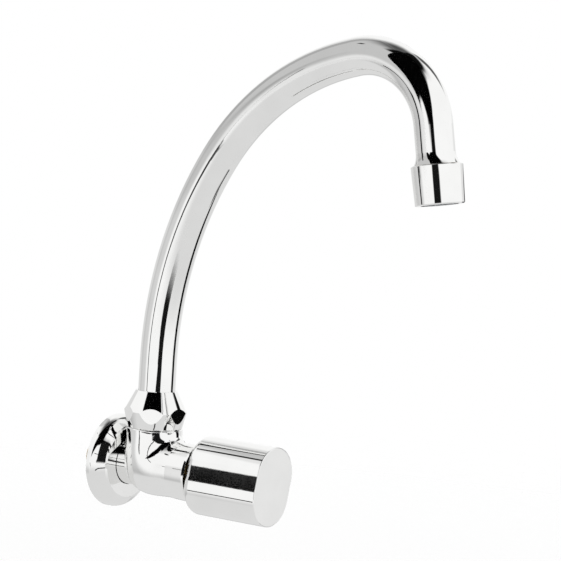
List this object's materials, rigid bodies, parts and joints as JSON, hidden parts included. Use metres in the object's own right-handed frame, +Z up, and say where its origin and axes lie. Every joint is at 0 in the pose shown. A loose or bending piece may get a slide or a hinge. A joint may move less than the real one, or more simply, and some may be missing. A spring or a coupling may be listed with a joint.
{
  "type": "wall-mounted sink tap",
  "caption": "Chrome wall-mounted sink tap with one inlet, a round wall flange, an oval knob on a horizontal valve and a tall swivelling gooseneck spout with an aerator.",
  "frame": {"origin": "on the inlet axis, in the plane of the finished wall, where the threaded tail comes out of it", "axes": "+Z up along the swivel axis, +Y into the wall along the inlet, so the knob and the spout stand out towards -Y, +X to the right of someone facing the wall"},
  "size_m": [0.0552, 0.2438, 0.2865],
  "materials": {
    "chrome": "polished",
    "brass": "turned",
    "stainless": "satin",
    "rubber": "matte",
    "nylon": "matte",
    "acetal": "matte"
  },
  "bodies": {
    "body": {"tap_body": "chrome", "wall_flange": "chrome", "flange_gasket": "rubber", "flange_grip_ring": "rubber", "valve_seat": "brass", "bonnet": "brass", "bonnet_washer": "rubber", "swivel_nut": "chrome", "lower_slip_ring": "nylon"},
    "spout": {"spout_foot": "brass", "split_ring": "brass", "upper_slip_ring": "nylon", "foot_o_ring_1": "rubber", "foot_o_ring_2": "rubber", "spout_tube": "chrome", "outlet_collar": "brass", "aerator_housing": "chrome", "aerator_washer": "rubber", "aerator_cartridge": "acetal", "aerator_screen": "stainless", "aerator_grid": "acetal"},
    "knob": {"knob": "chrome", "knob_insert": "nylon", "grub_screw": "stainless", "spindle": "brass", "thrust_washer": "nylon", "spindle_circlip": "stainless", "spindle_o_ring_1": "rubber", "spindle_o_ring_2": "rubber"},
    "jumper": {"valve_jumper": "brass", "valve_washer": "rubber", "washer_screw": "stainless"}
  },
  "joints": [
    {"name": "spout_swivel", "type": "hinge", "parent": "body", "child": "spout", "pos_m": [0, -0.0282, 0.0229], "axis": [0, 0, 1], "range_deg": [-90, 90]},
    {"name": "knob_turn", "type": "hinge", "parent": "body", "child": "knob", "pos_m": [0, -0.08, 0], "axis": [0, -1, 0], "range_deg": [0, 900]},
    {"name": "jumper_lift", "type": "slide", "parent": "body", "child": "jumper", "axis": [0, -1, 0], "range_m": [0, 0.00501]}
  ],
  "couplings": [
    {"joint": "jumper_lift", "follows": "knob_turn", "m_per_rad": 0.00031831}
  ]
}
